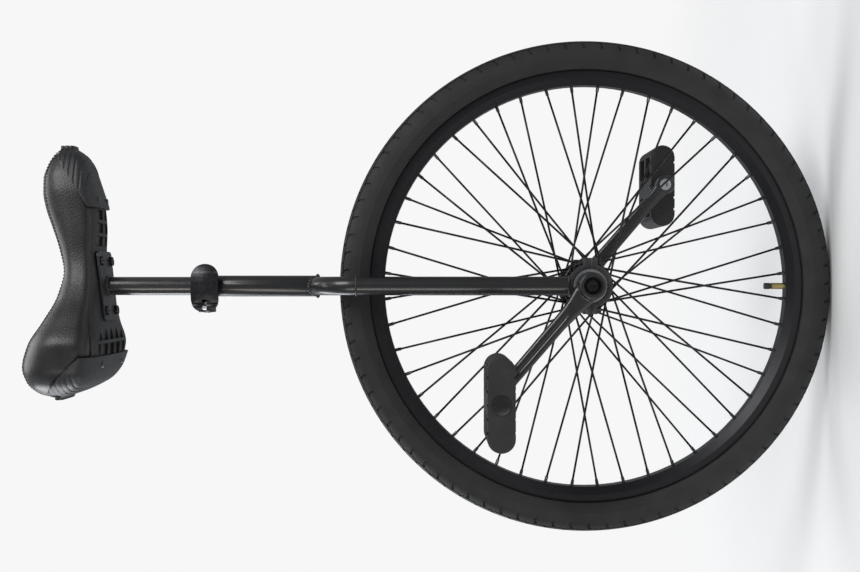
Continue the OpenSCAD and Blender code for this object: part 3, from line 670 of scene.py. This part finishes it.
def make_crank(side, name):
    """A forged arm that swells into its boss, cut for the axle, the puller and the pedal."""
    crank_out = CRANK_IN + CRANK_T
    boss = lathe([(15.5 * MM, BOSS_IN + 0.4 * MM), (16 * MM, BOSS_IN + 2 * MM),
                  (16 * MM, BOSS_OUT - 2.2 * MM), (14.8 * MM, BOSS_OUT - 0.3 * MM)], 64)
    eye = lathe([(11.6 * MM, CRANK_IN + 0.3 * MM), (12.4 * MM, CRANK_IN + 1.5 * MM),
                 (12.4 * MM, crank_out - 1.5 * MM), (11.6 * MM, crank_out - 0.3 * MM)],
                64, CRANK_LEN)
    sections = 30
    sides = 28
    arm = []
    for k in range(sections):
        t = k / (sections - 1)
        x = t * CRANK_LEN
        near_boss = math.exp(-((x - 4 * MM) / (24 * MM)) ** 2)
        near_eye = math.exp(-((x - CRANK_LEN) / (12 * MM)) ** 2)
        half = (9.1 - 1.2 * t) * MM + 5.6 * MM * near_boss + 2.4 * MM * near_eye
        thick = CRANK_T / 2 - 0.5 * MM * math.sin(math.pi * t)
        angles = [TAU * j / sides for j in range(sides)]
        arm.append([Vector((x, half * bend(math.cos(a), 0.5),
                            CRANK_IN + CRANK_T / 2 + thick * bend(math.sin(a), 0.5)))
                    for a in angles])
    body = combine("crank", to_mesh("arm", *loft(arm)),
                   [to_mesh("boss", *boss), to_mesh("eye", *eye)], "UNION")
    body = soften("crank", body, 0.9 * MM, 10)
    # A shallow groove along the outside of the arm
    path = [Vector((x * MM, 0, crank_out + 1.6 * MM)) for x in range(34, 149, 4)]
    last = len(path) - 1
    radii = [3.2 * MM * min(1, 0.25 + 1.6 * math.sqrt(min(k, last - k) / last))
             for k in range(len(path))]
    cuts = [to_mesh("groove", *tube(path, radii, 24))]
    # The square for the axle, the puller's stepped bore, and the pedal's hole
    half = 6.3 * MM
    cuts.append(boxes_mesh([((-half, -half, BOSS_IN - MM), (half, half, BOLT_SEAT + MM))]))
    for r, low in ((PULLER_R - MM, BOLT_SEAT), (PULLER_R, BOSS_OUT - 9 * MM)):
        cuts.append(to_mesh("hole", *lathe([(r, low), (r, BOSS_OUT + 3 * MM)], 64)))
    hole_r = 7.1 * MM
    hole = lathe([(hole_r, CRANK_IN - 2 * MM), (hole_r, crank_out + 2 * MM)], 48, CRANK_LEN)
    cuts.append(to_mesh("hole", *hole))
    body = combine("crank", body, cuts, "DIFFERENCE")
    turn = CRANK_ANGLE + (0 if side > 0 else math.pi)
    place = (Matrix.Translation(AXLE) @ Matrix.Rotation(-math.pi / 2, 4, "X")
             @ Matrix.Rotation(turn, 4, "Z") @ Matrix.Diagonal((1, 1, side, 1)))
    body.transform(place)
    obj = finish_piece(f"forged_crank_{name}", body, "crank_black", "wheel", (f"crank_{name}",))
    smooth_by_angle(obj.data, 38)


def make_pedal(side, name):
    """The moulded pedal: rounded bars and rails with grip teeth, from the CAD body."""
    node = NODES[f"pedal_body_{name}"]
    low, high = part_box(f"pedal_body_{name}")
    mid = (low + high) / 2
    mesh = node.data.copy()
    bm = bmesh.new()
    bm.from_mesh(mesh)
    bmesh.ops.remove_doubles(bm, verts=bm.verts, dist=0.01 * MM)
    bm.to_mesh(mesh)
    bm.free()
    mesh = soften("pedal", mesh, 0.8 * MM, 3)
    top = high.z - mid.z
    half_cut = 1.5 * MM
    bar_cuts = 11
    cuts = []
    for up in (-1, 1):
        # Grooves across the two bars leave the grip teeth
        z0, z1 = sorted((mid.z + up * (top - 1.8 * MM), mid.z + up * (top + MM)))
        for k in range(bar_cuts):
            y = low.y + (high.y - low.y) * (k + 1) / (bar_cuts + 1)
            for x, inward in ((low.x, 1), (high.x, -1)):
                x0, x1 = sorted((x - MM, x + inward * 11.2 * MM))
                cuts.append(((x0, y - half_cut, z0), (x1, y + half_cut, z1)))
        # Shallower ones cross the rails
        z0, z1 = sorted((mid.z + up * (top - 1.5 * MM), mid.z + up * (top + MM)))
        for k in range(-2, 3):
            x = mid.x + k * 15 * MM
            for y, inward in ((low.y, 1), (high.y, -1)):
                y0, y1 = sorted((y - MM, y + inward * 6.6 * MM))
                cuts.append(((x - half_cut, y0, z0), (x + half_cut, y1, z1)))
    mesh = combine("pedal", mesh, [boxes_mesh(cuts)], "DIFFERENCE")
    obj = finish_piece(f"moulded_pedal_{name}", mesh, "pedal_plastic", f"pedal_{name}",
                       (f"pedal_body_{name}",))
    smooth_by_angle(obj.data, 40)


# ------------------------------------------------------------------ welds
def weld(name, points, radius, body):
    """A bead with ripples round a joint."""
    count = len(points)
    middle = sum(points, Vector()) / count
    sides = 10
    points_a_ripple = 6
    verts = []
    for i, p in enumerate(points):
        t = (points[(i + 1) % count] - points[i - 1]).normalized()
        out = p - middle
        out = (out - t * out.dot(t)).normalized()
        other = t.cross(out)
        r = radius * (1 + 0.14 * math.cos(TAU * i / points_a_ripple))
        for j in range(sides):
            a = TAU * j / sides
            verts.append(p + (out * math.cos(a) + other * math.sin(a)) * r)
    add_piece(name, verts, grid_faces(count, sides, wrap_rows=True), "weld", body)


def make_welds():
    """The beads where the seat tube, the legs, the bearing housings and the plate are joined."""
    steps = 180
    turns = [TAU * k / steps for k in range(steps)]
    leg = [(LEG_R * math.cos(a), LEG_R * math.sin(a)) for a in turns]
    post = [(POST_R * math.cos(a), POST_R * math.sin(a)) for a in turns]
    seat_tube_r = 12.7 * MM
    ring = []
    for a in turns:
        x, y = seat_tube_r * math.cos(a), seat_tube_r * math.sin(a)
        crown_r = LEG_Y + math.sqrt(max(0.0, LEG_R ** 2 - x * x))
        ring.append(Vector((x, y, ARCH_Z + math.sqrt(max(0, crown_r ** 2 - y * y)))))
    weld("weld_seat_tube", ring, 1.9 * MM, "frame")
    housing_r = 26 * MM
    housing_half = 8.2 * MM
    for side, name in ((1, "left"), (-1, "right")):
        ring = [Vector((x, side * LEG_Y + y, ARCH_Z)) for x, y in leg]
        weld(f"weld_crown_{name}", ring, 1.1 * MM, "frame")
        ring = [Vector((x, side * LEG_Y + max(-housing_half, min(housing_half, y)),
                        AXLE.z + math.sqrt(housing_r ** 2 - x * x))) for x, y in leg]
        weld(f"weld_housing_{name}", ring, 1.8 * MM, "frame")
    plate_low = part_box("seat_post")[1].z - POST_R * SADDLE_SLOPE
    ring = [Vector((x, y, plate_low + x * SADDLE_SLOPE - 0.4 * MM)) for x, y in post]
    weld("weld_saddle_plate", ring, 1.8 * MM, "seat")


# ------------------------------------------------------------------ saddle
# Cushion sections from tail to nose, in mm: place along X, underside, top and half width.
# Over the plate the underside is flat, RISE above SADDLE_Z at the post
RISE = 4.4
SECTIONS = [
    (-133.5, 52, 60, 26), (-127, 34, 77, 60), (-113, 11, 90, 86), (-95, 0, 94.5, 97),
    (-70, -6, 88, 99), (-42, RISE - 42 * SADDLE_SLOPE, 72, 84),
    (-12, RISE - 12 * SADDLE_SLOPE, 57, 63), (15, RISE + 15 * SADDLE_SLOPE, 51, 50),
    (42, RISE + 42 * SADDLE_SLOPE, 57, 44), (70, 7.5, 67, 42), (95, 9, 76, 40),
    (112, 14, 79, 39), (128, 19, 79, 36), (145, 24, 74, 30), (158, 32, 66, 22),
    (166.5, 43, 56, 9)]
# The base's thickness, how far it lies inside the cushion's edge, and where it starts and ends
BASE_T = 7
BASE_INSET = 6
BASE_FROM, BASE_TO = -113, 145
BUMPER_T = 3.2
# Side outlines of the two bumpers
FRONT_BUMPER = [(94, -20), (190, -20), (190, 60), (150, 54), (122, 34), (94, 16)]
REAR_BUMPER = [(-150, 62), (-128, 58), (-104, 34), (-82, 10), (-82, -30), (-150, -30)]


def profile(x, column):
    """A smooth curve through the sections' values in one column, with no overshoot."""
    xs = [s[0] for s in SECTIONS]
    vs = [s[column] for s in SECTIONS]
    n = len(xs)
    slope = [(vs[i + 1] - vs[i]) / (xs[i + 1] - xs[i]) for i in range(n - 1)]
    tangent = [slope[0]]
    for i in range(1, n - 1):
        same = slope[i - 1] * slope[i] > 0
        tangent.append(2 * slope[i - 1] * slope[i] / (slope[i - 1] + slope[i]) if same else 0)
    tangent.append(slope[-1])
    x = min(max(x, xs[0]), xs[-1])
    i = max(0, min(n - 2, int(np.searchsorted(xs, x)) - 1))
    h = xs[i + 1] - xs[i]
    t = (x - xs[i]) / h
    return ((2 * t ** 3 - 3 * t ** 2 + 1) * vs[i] + (t ** 3 - 2 * t ** 2 + t) * h * tangent[i]
            + (3 * t ** 2 - 2 * t ** 3) * vs[i + 1] + (t ** 3 - t ** 2) * h * tangent[i + 1])


def stations():
    """Places along the saddle, closer together towards its round ends."""
    low, high = SECTIONS[0][0], SECTIONS[-1][0]
    count = 84
    return [low + (high - low) * (0.5 - 0.5 * math.cos(math.pi * k / (count - 1)))
            for k in range(count)]


def cushion(grow, side, ring, down=None):
    """The cushion's surface as rings from tail to nose, grown upward, sideways and down."""
    xs = stations()
    rows = []
    for k, x in enumerate(xs):
        low, high, half = (profile(x, c) for c in (1, 2, 3))
        low = min(low - (grow if down is None else down), high - 3)
        high, half = high + grow, half + side
        shift = -side if k == 0 else side if k == len(xs) - 1 else 0
        mid = low + 0.42 * (high - low)
        row = []
        for j in range(ring):
            a = TAU * j / ring
            up = bend(math.sin(a), 0.8)
            z = mid + (high - mid) * up if up > 0 else mid + (mid - low) * bend(math.sin(a), 0.35)
            row.append(Vector(((x + shift) * MM, half * bend(math.cos(a), 0.62) * MM,
                               SADDLE_Z + z * MM)))
        rows.append(row)
    return rows


def slab(low, high, side):
    """A slab that follows the underside, from low to high above it."""
    rows = []
    for x in stations():
        if BASE_FROM <= x <= BASE_TO:
            base, half = profile(x, 1), profile(x, 3) + side
            rows.append([Vector((x * MM, y * MM, SADDLE_Z + (base + z) * MM))
                         for y, z in ((-half, low), (half, low), (half, high), (-half, high))])
    return loft(rows)


def lift_above_base(place):
    """Height over the cushion's underside, in mm."""
    return (place[2] - SADDLE_Z) / MM - profile(place[0] / MM, 1)


def simulate_cushion(mesh, cap):
    """Lets the foam press the cover out, by cap at most; returns the new places."""
    obj = bpy.data.objects.new("cushion_sim", mesh)
    bpy.context.scene.collection.objects.link(obj)
    rest = np.array([v.co[:] for v in mesh.vertices])
    # Held fast up to 10 mm above the underside, and free from 20 mm
    group = obj.vertex_groups.new(name="held")
    for v in mesh.vertices:
        weight = min(1, max(0, (20 - lift_above_base(v.co)) / 10))
        if weight > 0:
            group.add([v.index], weight, "REPLACE")
    mod = obj.modifiers.new("Cloth", "CLOTH")
    s = mod.settings
    s.quality = 6
    s.use_pressure = True
    s.uniform_pressure_force = 4
    s.tension_stiffness = 40
    s.compression_stiffness = 40
    s.bending_stiffness = 6
    s.effector_weights.gravity = 0
    s.vertex_group_mass = "held"
    mod.collision_settings.use_collision = False
    scene = bpy.context.scene
    last_frame = 16
    mod.point_cache.frame_start = 1
    mod.point_cache.frame_end = last_frame
    for f in range(1, last_frame + 1):
        scene.frame_set(f)
    out = obj.evaluated_get(bpy.context.evaluated_depsgraph_get()).to_mesh()
    moved = np.array([v.co[:] for v in out.vertices])
    delta = moved - rest
    size = np.linalg.norm(delta, axis=1, keepdims=True)
    delta *= np.minimum(1, cap / np.maximum(size, 1e-9))
    bpy.data.objects.remove(obj)
    scene.frame_set(1)
    return rest + delta


def make_cover():
    """The padded cover: a closed form with two sewn seams and a tucked lower edge."""
    ring = 96
    rows = cushion(-2.2, -2.6, ring)
    mesh = to_mesh("cushion", *loft(rows))
    places = simulate_cushion(mesh.copy(), 2 * MM)
    # The sewn channels run along the top from tail to nose, and the cover tucks in at the base
    normals = np.array([v.normal[:] for v in mesh.vertices])
    seam_at = (14, 34)
    tuck_below = 9
    for i, p in enumerate(places):
        depth = sum(1.5 * MM * math.exp(-((i % ring - s) / 0.9) ** 2) for s in seam_at)
        lift = lift_above_base(p)
        if lift < tuck_below:
            depth += 0.9 * MM * (1 - lift / tuck_below)
        places[i] = p - normals[i] * depth
    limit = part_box("saddle_cover")
    places = np.minimum(np.maximum(places, np.array(limit[0])), np.array(limit[1]))
    for v, p in zip(mesh.vertices, places):
        v.co = p
    mesh = apply_modifiers("padded_cover", mesh, ("SUBSURF", {"levels": 1, "render_levels": 1}))
    obj = finish_piece("padded_cover", mesh, "cover_vinyl", "seat",
                       ("saddle_cover", "saddle_foam"))
    make_stitches(places, normals, ring, len(rows), seam_at)


def make_stitches(places, normals, ring, count, seam_at):
    """A row of thread on each side of each seam."""
    off = 2 * MM
    pitch, length = 4.2 * MM, 3.0 * MM
    radii = [0.25 * MM, 0.4 * MM, 0.4 * MM, 0.25 * MM]
    parts = []
    for s in seam_at:
        for side in (-1, 1):
            line = []
            for k in range(2, count - 2):
                i = k * ring + s
                a, b = Vector(places[i]), Vector(places[i + side])
                line.append((a + (b - a).normalized() * off, Vector(normals[i])))
            walk = 0.0
            for (p, n), (q, _) in zip(line, line[1:]):
                seg = (q - p).length
                while walk < seg:
                    a = p + (q - p) * (walk / seg)
                    d = (q - p).normalized()
                    up = n * 0.9 * MM
                    path = [a + up * 0.2, a + d * length * 0.2 + up, a + d * length * 0.8 + up,
                            a + d * length + up * 0.2]
                    parts.append(tube(path, radii, 6))
                    walk += pitch
                walk -= seg
    verts, faces = join(parts)
    add_piece("cover_stitching", verts, faces, "thread", "seat")


def make_saddle_base():
    """The moulded base: a rounded shell with pockets between ribs on its underside."""
    shell = to_mesh("base", *loft(cushion(0, -BASE_INSET, 48, down=0)))
    shell = combine("base", shell, [to_mesh("slab", *slab(-1, BASE_T, BASE_INSET))], "INTERSECT")
    shell = soften("base", shell, 1.3 * MM, 3)
    # Rows of pockets across the base, from one X to another, behind and ahead of the plate
    cells = [(-104, -88), (-84, -68), (-64, -48), (48, 60), (64, 76), (80, 92)]
    rib_t = 2.4
    pockets = []
    for x0, x1 in cells:
        half = min(profile(x0, 3), profile(x1, 3)) - 16
        under = min(profile(x0, 1), profile(x1, 1))
        count = 6 if half > 60 else 2
        width = 2 * half / count
        for k in range(count):
            y0 = -half + k * width + rib_t / 2
            pockets.append(((x0 * MM, y0 * MM, SADDLE_Z + (under - 4) * MM),
                            (x1 * MM, (y0 + width - rib_t) * MM, SADDLE_Z + (under + 3.6) * MM)))
    shell = combine("base", shell, [boxes_mesh(pockets)], "DIFFERENCE")
    obj = finish_piece("moulded_saddle_base", shell, "base_plastic", "seat", ("saddle_base",))
    smooth_by_angle(obj.data, 40)


def make_bumper(name, outline, ribs_from):
    """A bumper moulded round one end of the saddle, with scuff ribs past ribs_from along X."""
    shell = to_mesh("shell", *loft(cushion(BUMPER_T, BUMPER_T, 144)))
    inner = to_mesh("inner", *loft(cushion(0.1, 0.1, 144)))
    prism = [[Vector((x * MM, y, SADDLE_Z + z * MM)) for x, z in outline] for y in (-0.15, 0.15)]
    shell = combine(name, shell, [to_mesh("prism", *loft(prism))], "INTERSECT")
    shell = combine(name, shell, [inner], "DIFFERENCE")
    shell = soften(name, shell, 0.8 * MM, 5)
    # Read first and written after, because Blender works every normal out again at each change
    normals = [v.normal.copy() for v in shell.vertices]
    places = [v.co.copy() for v in shell.vertices]
    for v, place, normal in zip(shell.vertices, places, normals):
        lift = (place.z - SADDLE_Z) / MM
        rib = 0.5 + 0.5 * math.cos(TAU * lift / 6.5)
        edge = min(1, max(0, (abs(place.x) / MM - ribs_from) / 10))
        if lift > 14:
            v.co = place - normal * 0.7 * MM * (rib > 0.75) * edge
    obj = finish_piece(name + "_moulding", shell, "bumper_plastic", "seat", (name,))
    smooth_by_angle(obj.data, 50)


def make_saddle():
    """The cover, the base and both bumpers."""
    make_cover()
    make_saddle_base()
    make_bumper("front_bumper", FRONT_BUMPER, 112)
    make_bumper("rear_bumper", REAR_BUMPER, 98)


# ------------------------------------------------------------------ CAD pieces that stay
# Widths of the rounded edges, in mm
BEVELS = {
    "bearing_housing_left": 0.8, "bearing_housing_right": 0.8, "bearing_cap_left": 0.8,
    "bearing_cap_right": 0.8, "clamp_collar": 0.6, "clamp_nut": 0.3, "quick_release_lever": 0.9,
    "hub_shell": 0.6, "saddle_plate": 0.5, "crank_bolts": 0.3, "bearing_cap_bolts": 0.3,
    "saddle_bolts": 0.3, "pedal_end_cap_left": 0.5, "pedal_end_cap_right": 0.5,
    "bearing_spacers": 0.3, "pedal_nuts": 0.2, "seat_tube": 0.3}


def smooth_group(degrees):
    """Shades faces smooth, with sharp edges where two faces meet at a steeper angle."""
    tree = bpy.data.node_groups.new("smooth_by_angle", "GeometryNodeTree")
    tree.interface.new_socket("Geometry", in_out="INPUT", socket_type="NodeSocketGeometry")
    tree.interface.new_socket("Geometry", in_out="OUTPUT", socket_type="NodeSocketGeometry")
    n, l = tree.nodes, tree.links
    start, end = n.new("NodeGroupInput"), n.new("NodeGroupOutput")
    faces, edges = n.new("GeometryNodeSetShadeSmooth"), n.new("GeometryNodeSetShadeSmooth")
    edges.domain = "EDGE"
    edges.inputs["Shade Smooth"].default_value = False
    angle = n.new("GeometryNodeInputMeshEdgeAngle")
    steep = n.new("FunctionNodeCompare")
    steep.operation = "GREATER_THAN"
    steep.inputs["B"].default_value = math.radians(degrees)
    l.new(start.outputs[0], faces.inputs["Geometry"])
    l.new(faces.outputs[0], edges.inputs["Geometry"])
    l.new(angle.outputs["Unsigned Angle"], steep.inputs["A"])
    l.new(steep.outputs[0], edges.inputs["Selection"])
    l.new(edges.outputs[0], end.inputs[0])
    return tree


def finish_cad():
    """Gives every CAD piece that is still shown its finish, rounded edges and smooth shading."""
    smooth = smooth_group(32)
    slots = {s["node"]: s["material_slot"] for s in frame["record"]["subparts"]}
    for name, obj in NODES.items():
        if obj.hide_render:
            continue
        material = MATERIALS[slots[name]]
        if not obj.material_slots:
            obj.data.materials.append(material)
        for s in obj.material_slots:
            s.material = material
        merge = obj.modifiers.new("merge", "WELD")
        merge.merge_threshold = 0.005 * MM
        if name in BEVELS:
            add_bevel(obj, BEVELS[name] * MM)
        shade = obj.modifiers.new("shade", "NODES")
        shade.node_group = smooth


make_studio()
make_tyre()
make_spokes()
make_nipples()
make_valve_cap()
for side, name in ((1, "left"), (-1, "right")):
    make_crank(side, name)
    make_pedal(side, name)
make_welds()
make_saddle()
finish_cad()
